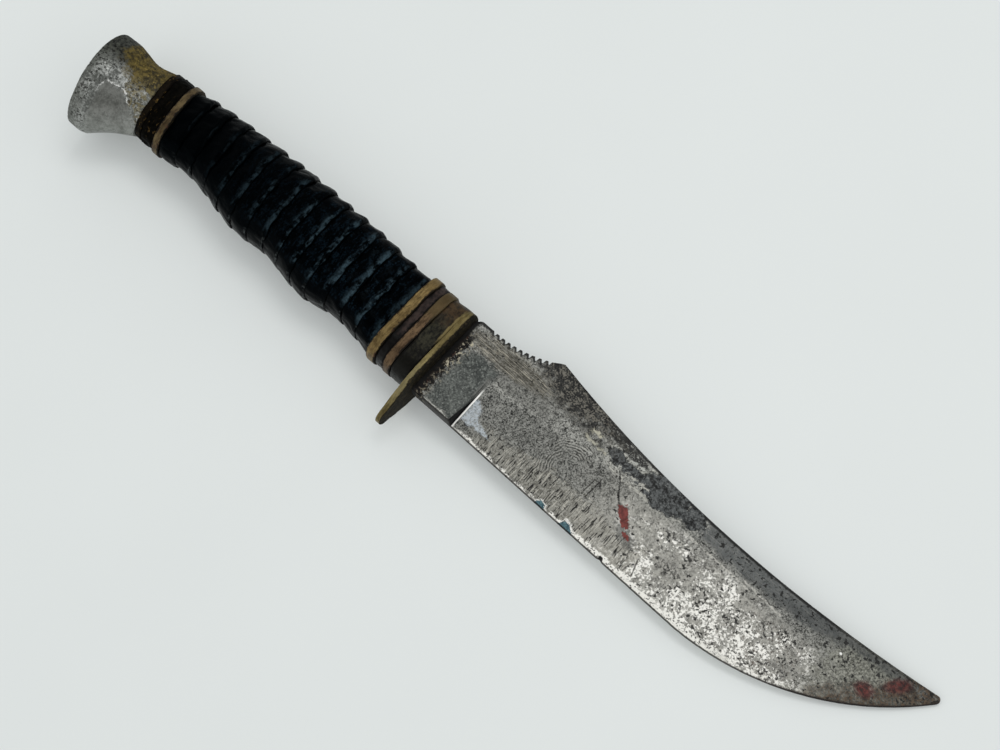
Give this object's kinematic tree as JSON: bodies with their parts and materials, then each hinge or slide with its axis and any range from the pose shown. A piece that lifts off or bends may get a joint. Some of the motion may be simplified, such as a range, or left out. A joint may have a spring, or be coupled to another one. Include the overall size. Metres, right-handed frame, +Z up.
{
  "type": "fixed-blade hunting knife",
  "caption": "Fixed-blade hunting knife with a trailing point, a notched thumb ramp, a guard with a quillon, a stacked leather grip and a flared cast pommel.",
  "frame": {"origin": "the middle of the knife's box on the surface that it lies on", "axes": "+X from the butt to the tip along that surface, +Y from the cutting edge to the spine, +Z up from the surface"},
  "size_m": [0.2368, 0.0374, 0.0215],
  "materials": {
    "worn_steel": "worn, stained and pitted, with a dull grey patina",
    "tarnished_brass": "tarnished, with rubbed bright edges",
    "copper": "tarnished reddish copper alloy",
    "dark_brass": "blackened by age",
    "brown_fibre": "dull pressed fibre",
    "dark_fibre": "dull pressed fibre, stained greenish brown",
    "black_leather": "blackened and polished by handling",
    "cast_aluminium": "cast and pitted, with smooth ground flats",
    "nut_steel": "plain turned steel"
  },
  "bodies": {
    "root": {"blade": "worn_steel", "guard": "tarnished_brass", "front_dark_washer": "dark_fibre", "front_copper_spacer": "copper", "front_fibre_spacer": "brown_fibre", "front_brass_spacer": "tarnished_brass", "leather_washer_01": "black_leather", "leather_washer_02": "black_leather", "leather_washer_03": "black_leather", "leather_washer_04": "black_leather", "leather_washer_05": "black_leather", "leather_washer_06": "black_leather", "leather_washer_07": "black_leather", "leather_washer_08": "black_leather", "leather_washer_09": "black_leather", "leather_washer_10": "black_leather", "leather_washer_11": "black_leather", "leather_washer_12": "black_leather", "leather_washer_13": "black_leather", "leather_washer_14": "black_leather", "rear_brass_spacer": "tarnished_brass", "rear_fibre_washer": "brown_fibre", "rear_dark_brass_spacer": "dark_brass", "pommel": "cast_aluminium", "tang_nut": "nut_steel"}
  },
  "joints": []
}
